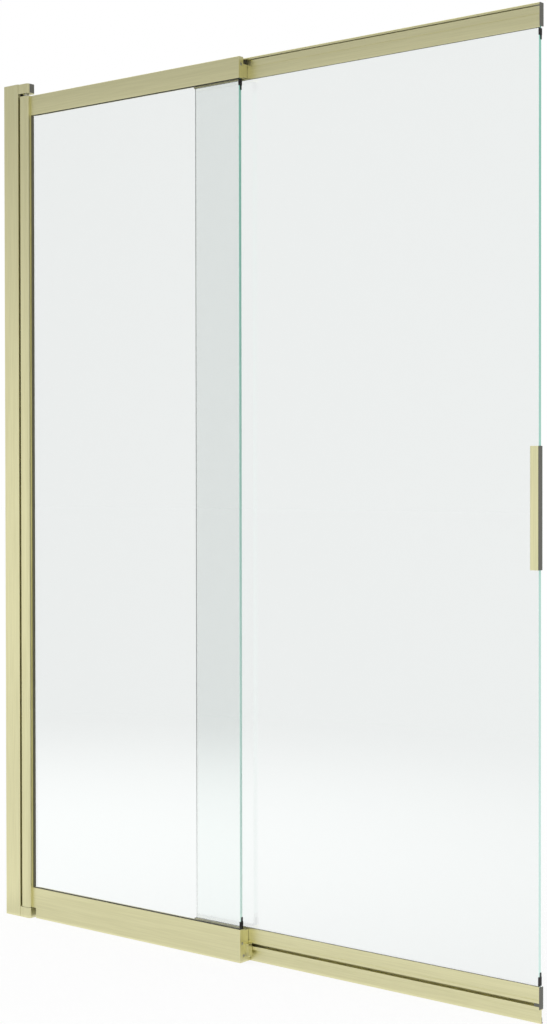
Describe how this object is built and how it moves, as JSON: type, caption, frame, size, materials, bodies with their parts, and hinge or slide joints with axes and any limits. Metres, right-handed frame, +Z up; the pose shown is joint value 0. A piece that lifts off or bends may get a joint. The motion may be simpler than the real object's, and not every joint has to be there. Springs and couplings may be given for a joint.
{
  "type": "sliding bath screen",
  "caption": "Bath screen: a glass panel that pivots on a wall profile, and a second glass panel that slides behind it on nested brass-tone rails, with an edge handle.",
  "frame": {"origin": "middle of the pivot post's depth, at the wall face and the bath rim", "axes": "+Z up from the rim, +X from the wall along the screen, +Y from the room side to the bath side"},
  "size_m": [1.1, 0.0378, 1.5],
  "materials": {
    "brass_aluminium": "brushed brass-tone anodised aluminium extrusion",
    "mill_aluminium": "plain mill-finish aluminium",
    "clear_glass": "clear toughened glass, polished edges",
    "grey_rubber": "matt olive-grey glazing rubber",
    "black_rubber": "matt black rubber",
    "grey_plastic": "fine-grained moulded ABS",
    "black_nylon": "moulded nylon",
    "white_acetal": "turned acetal",
    "stainless_steel": "plain stainless steel"
  },
  "bodies": {
    "wall_frame": {"wall_channel": "mill_aluminium", "adjusting_profile": "brass_aluminium", "adjustment_screws": "stainless_steel", "screw_caps": "brass_aluminium", "wall_profile_cap": "brass_aluminium", "top_pivot_block": "grey_plastic", "top_block_cover": "brass_aluminium", "bottom_pivot_block": "brass_aluminium", "block_screws": "stainless_steel", "top_pivot_pin": "stainless_steel", "bottom_pivot_pin": "stainless_steel", "thrust_washer": "stainless_steel", "pivot_seal": "black_rubber"},
    "fixed_panel": {"pivot_post": "brass_aluminium", "top_bush": "white_acetal", "bottom_bush": "white_acetal", "post_gasket": "grey_rubber", "rail_screws": "stainless_steel", "fixed_glass": "clear_glass", "fixed_top_rail": "brass_aluminium", "fixed_bottom_rail": "brass_aluminium", "fixed_top_gasket": "grey_rubber", "fixed_bottom_gasket": "grey_rubber", "fixed_top_end_cap": "brass_aluminium", "fixed_bottom_end_cap": "brass_aluminium", "end_cap_screws": "stainless_steel", "fixed_edge_clips": "black_rubber", "fixed_rim_seal": "black_rubber", "top_roller_carriage": "black_nylon", "top_hanger": "brass_aluminium", "top_carriage_screws": "stainless_steel", "top_axles": "stainless_steel", "bottom_roller_carriage": "brass_aluminium", "bottom_carriage_screws": "stainless_steel", "bottom_axles": "stainless_steel", "top_stop_block": "black_nylon", "bottom_stop_block": "black_nylon", "stop_buffers": "black_rubber"},
    "sliding_panel": {"sliding_glass": "clear_glass", "sliding_top_rail": "brass_aluminium", "sliding_bottom_rail": "brass_aluminium", "sliding_top_gasket": "grey_rubber", "sliding_bottom_gasket": "grey_rubber", "sliding_edge_clips": "black_rubber", "sliding_rim_seal": "black_rubber", "top_glide_shoe": "black_nylon", "bottom_glide_shoe": "black_nylon", "handle": "brass_aluminium", "handle_body": "grey_plastic", "top_left_end_cap": "grey_plastic", "top_right_end_cap": "grey_plastic", "bottom_left_end_cap": "grey_plastic", "bottom_right_end_cap": "grey_plastic"},
    "top_left_roller": {"top_left_roller": "white_acetal"},
    "top_right_roller": {"top_right_roller": "white_acetal"},
    "bottom_left_roller": {"bottom_left_roller": "white_acetal"},
    "bottom_right_roller": {"bottom_right_roller": "white_acetal"}
  },
  "joints": [
    {"name": "screen_pivot", "type": "hinge", "parent": "wall_frame", "child": "fixed_panel", "pos_m": [0.0493, 0, 0.75], "axis": [0, 0, 1], "range_deg": [-90, 90]},
    {"name": "panel_slide", "type": "slide", "parent": "fixed_panel", "child": "sliding_panel", "axis": [-1, 0, 0], "range_m": [0, 0.36]},
    {"name": "top_left_roller_turn", "type": "hinge", "parent": "fixed_panel", "child": "top_left_roller", "pos_m": [0.472, 0.0245, 1.4686], "axis": [0, 1, 0], "range_deg": [-3275, 1]},
    {"name": "top_right_roller_turn", "type": "hinge", "parent": "fixed_panel", "child": "top_right_roller", "pos_m": [0.534, 0.0245, 1.4686], "axis": [0, 1, 0], "range_deg": [-3275, 1]},
    {"name": "bottom_left_roller_turn", "type": "hinge", "parent": "fixed_panel", "child": "bottom_left_roller", "pos_m": [0.472, 0.0245, 0.0284], "axis": [0, 1, 0], "range_deg": [-3275, 1]},
    {"name": "bottom_right_roller_turn", "type": "hinge", "parent": "fixed_panel", "child": "bottom_right_roller", "pos_m": [0.534, 0.0245, 0.0284], "axis": [0, 1, 0], "range_deg": [-3275, 1]}
  ],
  "couplings": [
    {"joint": "top_left_roller_turn", "follows": "panel_slide", "rad_per_m": -158.73},
    {"joint": "top_right_roller_turn", "follows": "panel_slide", "rad_per_m": -158.73},
    {"joint": "bottom_left_roller_turn", "follows": "panel_slide", "rad_per_m": -158.73},
    {"joint": "bottom_right_roller_turn", "follows": "panel_slide", "rad_per_m": -158.73}
  ]
}
